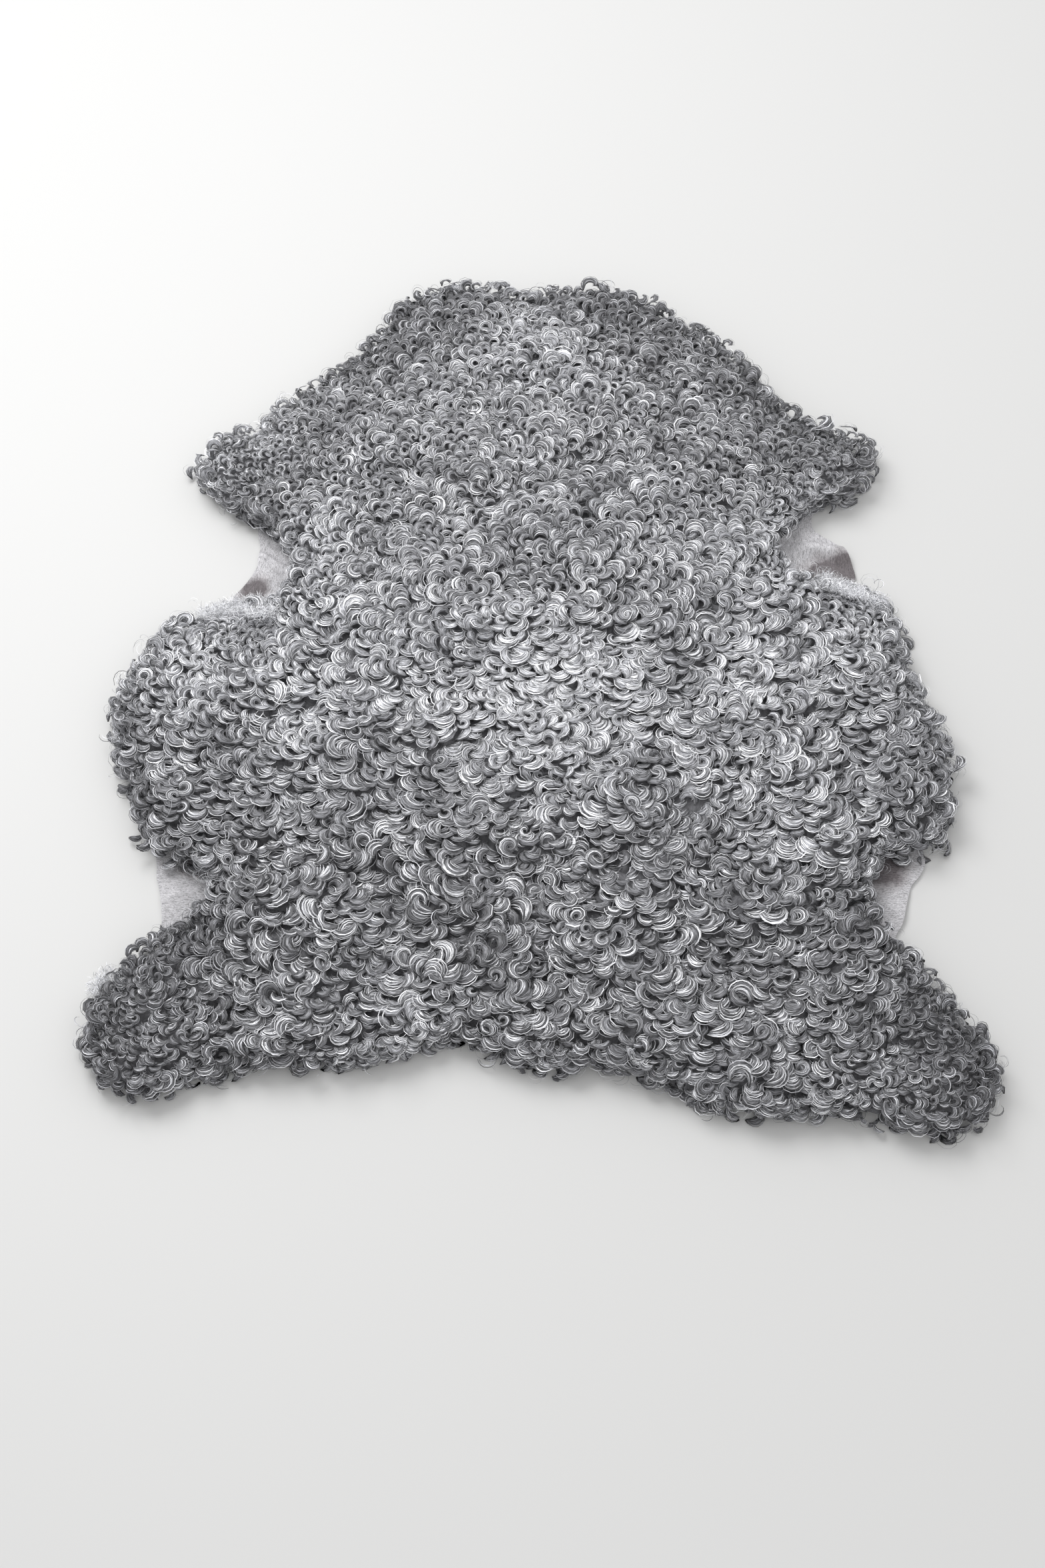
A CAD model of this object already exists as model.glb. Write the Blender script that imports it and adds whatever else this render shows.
"""Looks of the curly grey sheepskin rug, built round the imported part.

The leather is one thin sheet, with dents and swells where it is bare. A dark underwool lies on
it under curled locks: each lock is a tapered body that follows a spiral arc in a tilted plane,
with strands of fibre laid on it. Loose hairs and pale fluff go on top. Everything takes its
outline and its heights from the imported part. Metres, +Z up, +Y toward the neck.
"""

import math
import random
from functools import partial, reduce
from types import SimpleNamespace as Group

import bpy
import numpy as np
from mathutils import Matrix, Vector, noise
from mathutils.bvhtree import BVHTree
from mathutils.geometry import delaunay_2d_cdt
from mathutils.kdtree import KDTree


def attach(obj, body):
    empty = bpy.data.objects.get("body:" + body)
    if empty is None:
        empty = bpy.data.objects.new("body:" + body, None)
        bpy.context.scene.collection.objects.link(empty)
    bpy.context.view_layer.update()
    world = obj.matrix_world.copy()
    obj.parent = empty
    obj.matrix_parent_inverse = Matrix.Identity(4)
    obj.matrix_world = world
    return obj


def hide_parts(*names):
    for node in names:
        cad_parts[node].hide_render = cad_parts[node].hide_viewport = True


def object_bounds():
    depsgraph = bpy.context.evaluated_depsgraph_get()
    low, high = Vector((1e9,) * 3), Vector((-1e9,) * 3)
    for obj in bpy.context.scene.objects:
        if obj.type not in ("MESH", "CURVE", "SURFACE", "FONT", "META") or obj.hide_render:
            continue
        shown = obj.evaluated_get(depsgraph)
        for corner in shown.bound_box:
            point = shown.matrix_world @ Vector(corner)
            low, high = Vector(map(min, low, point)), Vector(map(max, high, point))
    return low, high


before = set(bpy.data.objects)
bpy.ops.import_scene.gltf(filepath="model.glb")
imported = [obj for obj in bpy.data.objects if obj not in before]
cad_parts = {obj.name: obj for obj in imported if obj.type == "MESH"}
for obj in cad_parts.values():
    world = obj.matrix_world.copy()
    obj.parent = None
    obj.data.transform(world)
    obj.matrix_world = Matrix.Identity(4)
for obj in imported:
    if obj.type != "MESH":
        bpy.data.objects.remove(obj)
bpy.context.view_layer.update()
cad_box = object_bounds()

SEED = 5
rng = random.Random(SEED)  # for single numbers
nrng = np.random.default_rng(SEED)  # for arrays of them

# ---- camera: as in the photograph ----
CAMERA_PLACE = (-0.0116, -1.2934, 1.935)
CAMERA_PITCH = 59.24  # degrees below the horizon
CAMERA_ROLL = 0.5
CAMERA_LENS = 50.0
SENSOR_WIDTH = 36.0

# ---- light and floor ----
FLOOR_COLOUR = (0.74, 0.74, 0.735, 1.0)
FLOOR_ROUGHNESS = 0.55
FLOOR_SIZE = 40.0
FLOOR_LEVEL = -0.0003
WORLD_STRENGTH = 0.725
KEY_POWER = 46.0
KEY_PLACE = (-1.10, 1.30, 2.40)
KEY_SIZE = 1.9

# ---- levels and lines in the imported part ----
RIM_LEVEL = 0.0148  # the wool's top is everywhere above this, its wall and rim locks below
WOOL_LINE_STEP = 0.004  # between the points of the wool's edge
LEATHER_LINE_STEP = 0.003
DOWNWARD = -0.5  # a face whose normal has less z than this faces the floor
NO_LIMIT = 1.0
BARE_PLACES = (  # x, y, radius, and how far curls may reach out of the slab there
    (-0.335, 0.07, 0.034, 0.003), (-0.2875, 0.135, 0.062, 0.012), (0.3175, 0.145, 0.066, 0.005),
    (-0.335, -0.285, 0.046, 0.009), (0.35, -0.3, 0.05, 0.01),
)
WOOL_BULGES = ((0.28, 0.15, 0.02, -0.015, 0.0),)  # x, y, radius and push of the wool's edge
LEATHER_BULGES = (  # x, y, radius and push of the leather's edge
    (-0.2925, 0.18, 0.024, -0.011, 0.001), (0.336, 0.148, 0.024, 0.0065, 0.0085),
)

# ---- leather ----
LEATHER = Group(
    thickness=0.0020,
    wide_spacing=0.020, wide_margin=0.012,  # of the mesh points under the wool
    bare_spacing=0.0031, bare_margin=0.0018,  # and where the leather is bare
    smoothings=3,
    lowest_dent=-0.0015,
    sharp=math.radians(50.0),
)
LEATHER_DARK = (  # x, y and radius of the browner places of the bare leather
    (-0.303, 0.104, 0.022), (0.347, 0.128, 0.03), (0.318, 0.121, 0.026), (0.35, -0.243, 0.034),
    (-0.345, -0.232, 0.022), (-0.318, -0.256, 0.014),
)
LEATHER_COLOURS = (  # from plain to darkest
    (0.35, (0.66, 0.65, 0.676)), (0.62, (0.5, 0.48, 0.497)), (0.86, (0.17, 0.15, 0.158)),
)
LEATHER_GRAIN = ((0.36, 0.52), (0.50, 1.00), (0.64, 1.22))
GRAIN_SCALES = ((1100.0, 240.0), (280.0, 1100.0))  # of x and y, at the armpits and the groins
GROINS_BELOW = -0.05  # y
FOLDS = (  # from x, y to x, y; rise and width of the folds in the bare leather
    (-0.2925, 0.1575, -0.26, 0.135, -0.0027, 0.0032),
    (-0.295, 0.153, -0.264, 0.129, 0.0027, 0.0035),
    (-0.29, 0.145, -0.265, 0.1225, -0.0017, 0.0032),
    (-0.2875, 0.1675, -0.27, 0.1575, -0.0014, 0.0032),
    (-0.285, 0.122, -0.285, 0.127, 0.0035, 0.01),
    (0.2825, 0.165, 0.3175, 0.1625, -0.0024, 0.0032),
    (0.3175, 0.1625, 0.34, 0.1588, -0.0024, 0.0032),
    (0.2875, 0.1738, 0.3213, 0.1663, -0.0017, 0.0032),
    (0.305, 0.153, 0.34, 0.15, 0.004, 0.009),
    (0.337, 0.144, 0.344, 0.142, 0.0055, 0.011),
    (-0.37, -0.268, -0.335, -0.255, -0.0019, 0.0032),
    (-0.37, -0.275, -0.335, -0.262, 0.002, 0.0045),
    (-0.362, -0.238, -0.33, -0.244, -0.0015, 0.0032),
    (0.345, -0.262, 0.375, -0.268, -0.0015, 0.0032),
    (0.352, -0.29, 0.362, -0.3, 0.0024, 0.007),
)

# ---- wool ----
UNDERWOOL = Group(
    spacing=0.0100, margin=0.003,  # of its mesh points
    drop=0.0088,  # from the wool's top down to the underwool
    roll=0.030,  # width of its rounded edge
    lump_size=0.011, lump=0.004,
    least=0.004, lowest=0.0035, base=0.0022,
    fluff_sink=0.6,
)
RIM_LIFT = 0.010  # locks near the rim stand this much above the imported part's rolled edge
RIM_LIFT_WIDTH = 0.018
FLUFF_SINK = 0.55  # share by which locks stand lower at the pale fluff
PROUD = 0.0095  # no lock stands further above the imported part
LOWEST = 0.0006  # and none reaches lower
KINDS = {  # steps of the body, number and steps of the strands
    "large_crescent": (7, 9, 8),
    "crescent": (6, 6, 6),
    "ring": (10, 5, 11),
    "small_crescent": (5, 4, 6),
    "small_ring": (8, 3, 9),
    "filler": (5, 2, 5),
}
SMALL, LARGE = 0.0066, 0.0100  # radii below and above which a lock has fewer or more faces
SHAPES = {  # ranges of a lock's sweep in degrees, its narrowing, its arch and its fatness
    "ring": Group(sweep=(330, 430), shrink=(0.45, 0.66), arch=(0.05, 0.20), fat=(0.75, 1.05)),
    "crescent": Group(sweep=(140, 235), shrink=(0.10, 0.45), arch=(0.06, 0.28), fat=(0.75, 1.10)),
}
NECK_SWEEP = (40, 50)  # how much more a crescent sweeps at the neck
RING_START = (95, 140)  # degrees before the crest
CRESCENT_START = (0.40, 0.56)  # share of the sweep before the crest
LOCK_RISE = (-0.30, 0.35)  # of a lock's tip over its root, times its radius
TONE_LIMITS = (0.18, 0.999)
TONE_SPREAD = 0.06
LOCK_RADIUS = 0.0084
TOP_LOCKS = Group(
    spacing=0.0104, darts=60000, sizes=(0.62, 1.14), ring_size=0.90, crescent_size=1.08,
    rings=0.20, neck_rings=0.20,  # share of rings, and how much more it is at the neck
    turn=0.5, strays=0.22,  # spread of the lean, and share that leans anywhere
    reach=1.5,  # of a lock from its middle, times its radius
    tilt=(10.0, 9.0),  # degrees, mean over the sine of the lean, and spread
    sink=0.7, heights=(-0.0026, 0.0014), least=0.006,
)
STACKS = Group(  # locks that lie on each other
    share=0.50, to_rim=0.02, counts=(1, 1, 2), steps=(0.40, 0.65), turn=0.15, drop=0.0012,
    sizes=(0.86, 1.02),
)
FILLERS = Group(  # locks in the gaps between the others
    sizes=(0.70, 1.05), reach=0.7, turn=0.6, drop=0.0022, heights=(-0.001, 0.002), least=0.005,
    tilt=(-5, 15), darker=0.02,
)
COVER = Group(  # how gaps are found
    cell=0.0015, margin=0.02, samples=(0.12, 0.88, 6), half=0.5, lonely=0.60, most_bare=5000,
)
RIM_LEVELS = (  # height, reach beyond the slab's rim, and steps from one lock to the next
    (0.007, 0.0165, (1, 2, 3)),
    (0.016, 0.0180, (1, 2, 3)),
    (0.026, 0.0160, (1, 2, 3)),
    (0.035, 0.0110, (2, 2, 3)),
)
RIM_LOCKS = Group(
    rings=0.08, radii=(0.0042, 0.0095), inward=-0.004,
    clump_size=0.022, clump=0.55, layer=2.2, layer_step=0.3,
    push=0.0065, push_base=0.45, push_right=0.35,  # the wool hangs out more at the neck
    hang_from=0.005, hang_over=0.003,  # small locks hang out less
    reach=1.5, beyond=0.008, beyond_radii=1.3,
    turn=1.1, droop=0.4, heights=(-0.004, 0.004), least=0.0035, fluff_sink=0.6,
    tilt=(-65, 25), darker=0.04, fatter=1.15,
)
OVERHANGS = (  # x, y, radius, and how much further the rim's curls hang out there
    (-0.368, -0.217, 0.026, 0.012), (0.37, -0.22, 0.032, 0.012), (0.43, 0.24, 0.05, 0.005),
    (-0.13, 0.53, 0.07, 0.006), (0.1, 0.53, 0.07, 0.006),
)
TUFTS = Group(  # bundles of longer locks that hang out at the rim
    count=60, radii=(0.0075, 0.0125), highest_y=0.22, turn=0.7, beyond=(-0.002, 0.007),
    heights=(0.012, 0.030), locks=(2, 3, 3), least=0.005, tilt=(-40, 5), darker=0.04,
    thinner=0.62, step=0.004, climb=0.002, bend=0.25, sizes=(0.85, 1.05),
)
WISPS, RIM_WISPS = 300, 430  # loose hairs on the top, and beyond the rim
WISP_STRANDS, WISP_STEPS = 2, 8
WISP_DARKER = 0.12  # beyond the rim
SECTION = (0.60, 0.15)  # half width and half height of a lock's body, times its radius
BODY_WIDTHS = ((0.0, 0.22), (0.15, 0.66), (0.45, 1.00), (0.72, 0.84), (0.90, 0.46), (1.0, 0.12))
BODY_SIZE = 0.88  # of the section, so that the strands lie on it
BODY_TWIST = 0.4
ROOT_DROP, ROOT_LENGTH = 0.7, 0.25  # how deep a lock's root goes into the wool
STRAND_PROFILE = ((0.0, 0.25, 0.7, 1.0), (0.6, 1.0, 0.8, 0.15))  # share of length, and width
STRAND_WIDTHS = (0.035, 0.070)  # times the lock's radius
STRAND_FAN = (-0.10, 0.24)  # how far a strand parts from the lock, outward
FLUFF = (  # middle, half lengths, turn and number of hairs of each patch of pale fluff
    (-0.318, 0.08, 0.048, 0.014, 0.15, 2200), (-0.29, 0.058, 0.02, 0.014, 0.0, 500),
    (0.346, 0.09, 0.046, 0.017, -0.48, 2700), (-0.424, -0.366, 0.02, 0.01, 0.8, 420),
)
FLUFF_STEPS = 2
FLUFF_HALF_WIDTH = 0.00024
FLUFF_TONES = (8, 9, 9, 10, 11)
FINE_PLACES = ((-0.315, 0.062, 0.050), (0.352, 0.072, 0.055))  # small low curls at the fluff
LARGER = ((-0.20, 1.30), (0.06, 1.30), (0.26, 1.03))  # y and how large the curls are there
SMALLER = (  # x, y and radius of the places with smaller curls, and how much smaller
    (-0.35, 0.255, 0.105, 0.4), (0.365, 0.262, 0.105, 0.4), (-0.395, -0.425, 0.105, 0.4),
    (0.4, -0.465, 0.105, 0.4), (-0.43, -0.06, 0.1, 0.14), (0.43, -0.09, 0.09, 0.16),
)
RIM_SIZE = Group(base=0.84, growth=0.16, width=0.055)  # curls are smaller at the rim
FLUFF_SMALLER = 0.5
NECK_FROM, NECK_OVER = -0.02, 0.30  # y where the curls start to tighten, and over how far
LEAN = Group(  # how the locks lean: out of the pelt's middle, in drifting clumps
    middle_y=0.06, narrow=0.35, rim_width=0.022,
    drifts=((0.075, 3.1, 1.9), (0.028, 9.4, 1.1)),  # size, layer and strength
)

# ---- tones of the wool ----
TONES = 12
LANES = 4
BODY_TONE = -2  # steps of tone between a lock and its body
STRAND_TONES = (-4, -2, -1, 1, 2, 3, 3, 3)
OUTER_TONE = 0.8  # steps by which strands along a lock's edges are darker
CONTRAST = ((-0.30, -0.15, 0.10, 0.25), (1.45, 1.02, 1.05, 1.25))  # y and how much strands differ
MIDDLE = (0.03, -0.03)  # of the pale patch on the back
PALE = Group(half=(0.19, 0.10), paler=0.33)
CALM = Group(half=(0.20, 0.11), calmer=0.22)
TONE = Group(
    base=0.605, darker=0.065, low_from=-0.02, low_over=0.22,  # darker toward the tail
    drifts=((0.05, 5.5, 0.12), (0.016, 1.5, 0.09)),  # size, layer and strength
)
SHADES = (  # x, y and radius of the paler and darker places, and how much paler
    (-0.38, 0.285, 0.035, 0.04), (-0.3, 0.205, 0.04, -0.12), (0.385, 0.275, 0.05, -0.14),
    (-0.085, 0.485, 0.065, -0.22), (0.1, 0.5, 0.065, -0.24), (0.19, 0.43, 0.07, -0.21),
    (-0.19, 0.42, 0.07, -0.2), (0.0, 0.43, 0.09, 0.18), (-0.03, 0.38, 0.04, 0.07),
    (0.27, 0.3, 0.06, -0.12), (0.27, 0.38, 0.06, -0.08), (0.04, 0.28, 0.03, 0.12),
    (-0.32, 0.33, 0.08, 0.19), (-0.15, 0.26, 0.07, 0.08), (-0.22, 0.29, 0.04, -0.08),
    (-0.24, 0.15, 0.05, 0.21), (-0.33, 0.085, 0.035, 0.3), (0.345, 0.105, 0.04, 0.3),
    (0.26, 0.14, 0.06, 0.17), (0.29, -0.03, 0.09, 0.15), (0.24, -0.19, 0.08, 0.13),
    (0.13, 0.03, 0.06, -0.18), (0.15, -0.06, 0.05, -0.12), (-0.06, -0.01, 0.03, -0.12),
    (-0.09, 0.02, 0.05, -0.12), (-0.18, 0.03, 0.12, 0.06), (-0.36, -0.02, 0.08, 0.21),
    (-0.25, -0.12, 0.04, 0.2), (-0.4, -0.19, 0.06, -0.09), (0.02, -0.15, 0.045, 0.24),
    (0.4, -0.05, 0.07, 0.05), (-0.15, -0.11, 0.04, -0.08), (-0.1, -0.27, 0.035, -0.14),
    (-0.26, -0.33, 0.08, -0.03), (-0.43, -0.08, 0.05, -0.06), (0.12, -0.24, 0.1, 0.02),
    (0.31, -0.24, 0.05, 0.12), (0.33, -0.3, 0.06, -0.12), (-0.36, -0.33, 0.06, -0.12),
    (0.0, -0.42, 0.12, -0.08), (-0.13, -0.44, 0.055, 0.27), (0.03, -0.43, 0.03, 0.1),
    (0.29, -0.49, 0.04, 0.14), (-0.32, -0.49, 0.04, 0.12), (-0.42, -0.44, 0.08, -0.21),
    (0.42, -0.48, 0.09, -0.28),
)
WOOL_LEVELS = (  # colour of each share of tone
    (0.0, (0.085, 0.085, 0.092)), (0.3, (0.19, 0.191, 0.204)), (0.6, (0.388, 0.392, 0.418)),
    (1.0, (0.84, 0.845, 0.87)),
)
FIBRE_STRIPES = ((0.38, 0.24), (0.48, 0.78), (0.60, 1.90))
ROOT_TO_TIP = ((0.0, 0.50), (0.20, 0.88), (0.45, 1.20), (0.72, 1.04), (1.0, 0.82))
FIBRES = (13.0, 2.6)  # noise cells across and along a strip of the map
FIBRE_SEEDS = (7.31, 3.17)  # for tone and lane
UNDERWOOL_COLOURS = ((0.3, (0.075, 0.075, 0.081)), (0.7, (0.23, 0.23, 0.245)))


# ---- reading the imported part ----
def packed_surface():
    """The pelt's corners and triangles, with corners that share a place made one."""
    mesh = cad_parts["sheepskin"].data
    places = np.empty(len(mesh.vertices) * 3)
    mesh.vertices.foreach_get("co", places)
    corners, same = np.unique(places.reshape(-1, 3).round(6), axis=0, return_inverse=True)
    used = np.empty(len(mesh.loops), dtype=np.int32)
    mesh.loops.foreach_get("vertex_index", used)
    return corners, same.reshape(-1)[used].reshape(-1, 3)


def sides_of(triangle):
    """Its three sides, as pairs of corner numbers."""
    return [(int(triangle[k - 3]), int(triangle[k - 2])) for k in range(3)]


def border_of(triangles):
    """The longest closed border of a set of triangles, as corner numbers in order."""
    sides = {side for triangle in triangles for side in sides_of(triangle)}
    after = {a: b for a, b in sides if (b, a) not in sides}
    best = []
    while after:
        start = next(iter(after))
        line = [start]
        following = after.pop(start)
        while following in after:
            line.append(following)
            following = after.pop(following)
        if len(line) > len(best):
            best = line
    return best


def underside():
    """The triangles of the leather's underside: what joins on to the one under the origin."""
    middle = corners[triangles].mean(axis=1)
    flat = (normals[:, 2] < DOWNWARD) & (middle[:, 2] < 0.0005)
    start = int(np.argmin(np.where(flat, np.hypot(middle[:, 0], middle[:, 1]), np.inf)))
    beside = {}
    edges_of = [[tuple(sorted(side)) for side in sides_of(t)] for t in triangles]
    for number, edges in enumerate(edges_of):
        for edge in edges:
            beside.setdefault(edge, []).append(number)
    found = {start}
    waiting = [start]
    while waiting:
        for edge in edges_of[waiting.pop()]:
            for other in beside[edge]:
                if other not in found and normals[other, 2] < DOWNWARD:
                    found.add(other)
                    waiting.append(other)
    return triangles[sorted(found)]


def smooth_line(points, spacing, between=8):
    """A closed line through the points, rounded by Catmull-Rom, with even points."""
    shares = np.linspace(0.0, 1.0, between, endpoint=False)[:, None]
    a, b, c, d = (np.roll(points, -k, axis=0)[:, None] for k in (-1, 0, 1, 2))
    fine = 0.5 * (2 * b + (c - a) * shares + (2 * a - 5 * b + 4 * c - d) * shares**2
                  + (3 * b - a - 3 * c + d) * shares**3)
    fine = fine.reshape(-1, 2)
    steps = np.linalg.norm(np.roll(fine, -1, axis=0) - fine, axis=1)
    passed = np.concatenate(([0.0], np.cumsum(steps)))
    at = np.linspace(0.0, passed[-1], round(passed[-1] / spacing), endpoint=False)
    closed = np.vstack((fine, fine[:1]))
    return np.stack([np.interp(at, passed, closed[:, k]) for k in range(2)], axis=1)


def outward_of(line):
    """The unit directions out of an anticlockwise closed line at its points."""
    along = np.roll(line, -1, axis=0) - np.roll(line, 1, axis=0)
    out = np.stack((along[:, 1], -along[:, 0]), axis=1)
    return out / np.linalg.norm(out, axis=1, keepdims=True)


def inside(line, points):
    """Which of the points are inside the closed line."""
    a, b = line, np.roll(line, -1, axis=0)
    result = np.zeros(len(points), dtype=bool)
    for (ax, ay), (bx, by) in zip(a, b):
        crosses = (ay > points[:, 1]) != (by > points[:, 1])
        if crosses.any():
            at = ax + (points[:, 1] - ay) / (by - ay) * (bx - ax)
            result ^= crosses & (points[:, 0] < at)
    return result


def edge_line(triangles, spacing, bulges):
    """The smooth border of some triangles, anticlockwise from above, pushed at each bulge."""
    line = smooth_line(corners[border_of(triangles)][:, :2], spacing)
    x, y = line.T
    if np.sum(x * np.roll(y, -1) - y * np.roll(x, -1)) <= 0:
        line = line[::-1].copy()
    for x, y, radius, *push in bulges:
        away = np.hypot(line[:, 0] - x, line[:, 1] - y)
        line += np.exp(-((away / radius) ** 2))[:, None] * np.array(push)
    return line


class Rim:
    """A closed line that knows how far a place is from it, and which way is out there."""

    def __init__(self, line):
        self.out = outward_of(line)
        self.tree = KDTree(len(line))
        for i, (x, y) in enumerate(line):
            self.tree.insert((x, y, 0.0), i)
        self.tree.balance()

    def near(self, x, y):
        _, i, distance = self.tree.find((x, y, 0.0))
        return distance, self.out[i]


corners, triangles = packed_surface()
sides = corners[triangles]
normals = np.cross(sides[:, 1] - sides[:, 0], sides[:, 2] - sides[:, 0])
normals /= np.maximum(np.linalg.norm(normals, axis=1, keepdims=True), 1e-12)
pelt_tree = BVHTree.FromPolygons(corners.tolist(), triangles.tolist())

top_triangles = triangles[(sides[:, :, 2] >= RIM_LEVEL).all(axis=1)]
slab_line = edge_line(top_triangles, WOOL_LINE_STEP, WOOL_BULGES)
slab = Rim(slab_line)

under_triangles = underside()
leather_line = edge_line(under_triangles, LEATHER_LINE_STEP, LEATHER_BULGES)
under_tree = BVHTree.FromPolygons(corners.tolist(), under_triangles.tolist())


def hit_height(tree, x, y, start, way):
    """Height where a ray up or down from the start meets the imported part, or 0 beside it."""
    hit = tree.ray_cast(Vector((x, y, start)), Vector((0.0, 0.0, way)))[0]
    return hit.z if hit else 0.0


def top_height(x, y):
    return hit_height(pelt_tree, x, y, 0.2, -1.0)


def near_to(x, y, a, b, radius):
    """1 at the place a, b, falling to 0 over about twice the radius."""
    return math.exp(-((x - a) ** 2 + (y - b) ** 2) / radius**2)


def drift(x, y, layers, start=0.0):
    """Smooth noise here, added to the start: layers of size, layer number and strength."""
    return sum((strength * noise.noise(Vector((x / size, y / size, layer)))
                for size, layer, strength in layers), start)


def clamp(value, low=0.0, high=1.0):
    return min(max(value, low), high)


def by_fluff(x, y):
    """1 in the middle of the places with pale fluff, 0 away from them."""
    return max(near_to(x, y, *place) for place in FINE_PLACES)


def wool_top(x, y, to_rim):
    """Height of the locks' tops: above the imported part's rolled edge, but low at the fluff."""
    lifted = top_height(x, y) + RIM_LIFT * math.exp(-to_rim / RIM_LIFT_WIDTH)
    return lifted * (1.0 - FLUFF_SINK * by_fluff(x, y))


def reach_limit(x, y):
    """How far curls may reach beyond the slab here: little where the leather is bare."""
    for a, b, radius, reach in BARE_PLACES:
        if math.hypot(x - a, y - b) < radius:
            return reach
    return NO_LIMIT


# ---- mesh helpers ----
def in_scene(name, data):
    """A new object of this data, in the scene."""
    thing = bpy.data.objects.new(name, data)
    bpy.context.scene.collection.objects.link(thing)
    return thing


def new_object(name, points, faces, material):
    """A smooth-shaded mesh object."""
    mesh = bpy.data.meshes.new(name)
    mesh.from_pydata(points.tolist(), [], faces)
    mesh.shade_smooth()
    mesh.materials.append(material)
    return in_scene(name, mesh)


def lattice(line, spacing, margin, jitter=0.16):
    """Jittered points of a triangular lattice inside the line, no nearer to it than margin."""
    low, high = line.min(axis=0), line.max(axis=0)
    row_height = spacing * math.sqrt(3) / 2
    rows = np.arange(int((high[1] - low[1]) / row_height) + 1)
    columns = np.arange(int((high[0] - low[0]) / spacing) + 2)
    column, row = np.meshgrid(columns, rows)
    x = low[0] + (column + 0.5 * (row % 2)) * spacing
    y = low[1] + row * row_height
    points = np.stack((x.ravel(), y.ravel()), axis=1)
    points += nrng.uniform(-jitter, jitter, points.shape) * spacing
    points = points[inside(line, points)]
    rim = Rim(line)
    far = [rim.near(*p)[0] > margin for p in points]
    return points[far]


def sheet_of(line, inner):
    """A flat triangulated sheet inside the line through the inner points: points, triangles."""
    flat = [Vector(p) for p in np.vstack((line, inner))]
    points, _, faces, *_ = delaunay_2d_cdt(flat, [], [list(range(len(line)))], 1, 1e-7)
    points = np.array([tuple(p) for p in points])
    faces = np.array([list(face) for face in faces])
    a, b, c = (points[faces[:, k]] for k in range(3))
    turned = np.cross(b - a, c - a) < 0
    faces[turned] = faces[turned][:, ::-1]
    return points, faces


def closed_sheet(points, faces, tops, bottoms):
    """Two copies of a flat sheet at these heights, joined by a wall: points, faces."""
    count = len(points)
    upper = np.column_stack((points, tops))
    lower = np.column_stack((points, bottoms))
    border = border_of(faces)
    wall = [(a + count, b + count, b, a) for a, b in zip(border, border[1:] + border[:1])]
    below = [tuple(f) for f in (faces[:, ::-1] + count).tolist()]
    return np.vstack((upper, lower)), [tuple(f) for f in faces.tolist()] + below + wall


# ---- materials ----
class Nodes:
    """A material, with short ways to add and link its nodes."""

    def __init__(self, name, **constants):
        self.material = bpy.data.materials.new(name)
        self.material.use_nodes = True
        self.tree = self.material.node_tree
        self.shader = self.tree.nodes["Principled BSDF"]
        for socket, value in constants.items():
            self.shader.inputs[socket.replace("_", " ")].default_value = value

    def put(self, node, name, value):
        """Links an input or sets its value."""
        if isinstance(value, bpy.types.NodeSocket):
            self.tree.links.new(value, node.inputs[name])
        else:
            node.inputs[name].default_value = value

    def add(self, kind, *inputs, out=0, **settings):
        """An output of a new node. The inputs come in order, or by name as in_Name."""
        node = self.tree.nodes.new("ShaderNode" + kind)
        for number, value in enumerate(inputs):
            self.put(node, number, value)
        for key, value in settings.items():
            if key.startswith("in_"):
                self.put(node, key[3:], value)
            else:
                setattr(node, key, value)
        return node.outputs[out]

    def math(self, operation, *inputs):
        return self.add("Math", *inputs, operation=operation)

    def scaled(self, x, y, scales):
        return (self.math("MULTIPLY", value, scale) for value, scale in zip((x, y), scales))

    def noise(self, where, scale, detail, rough, distortion=0.0):
        return self.add("TexNoise", in_Vector=where, in_Scale=scale, in_Detail=detail,
                        in_Roughness=rough, in_Distortion=distortion)

    def split(self, vector):
        """The x and y of a vector."""
        return self.add("SeparateXYZ", vector).node.outputs[:2]

    def place(self):
        """The place in the object."""
        return self.add("TexCoord", out="Object")

    def times(self, a, b):
        """The product of two colours."""
        return self.add("VectorMath", a, b, operation="MULTIPLY")

    def ramp(self, source, stops):
        """A colour or a grey for each place between the stops."""
        node = self.tree.nodes.new("ShaderNodeValToRGB")
        elements = node.color_ramp.elements
        while len(elements) > 1:
            elements.remove(elements[-1])
        for i, (place, colour) in enumerate(stops):
            element = elements[0] if i == 0 else elements.new(place)
            element.position = place
            grey = (colour, colour, colour) if isinstance(colour, float) else colour
            element.color = (*grey, 1.0)
        self.tree.links.new(source, node.inputs[0])
        return node.outputs[0]

    def finish(self, colour, height, strength, distance):
        """Links the colour and a bump of this height to the shader."""
        bump = self.add("Bump", in_Height=height, in_Strength=strength, in_Distance=distance)
        self.tree.links.new(colour, self.shader.inputs["Base Color"])
        self.tree.links.new(bump, self.shader.inputs["Normal"])
        return self.material


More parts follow.
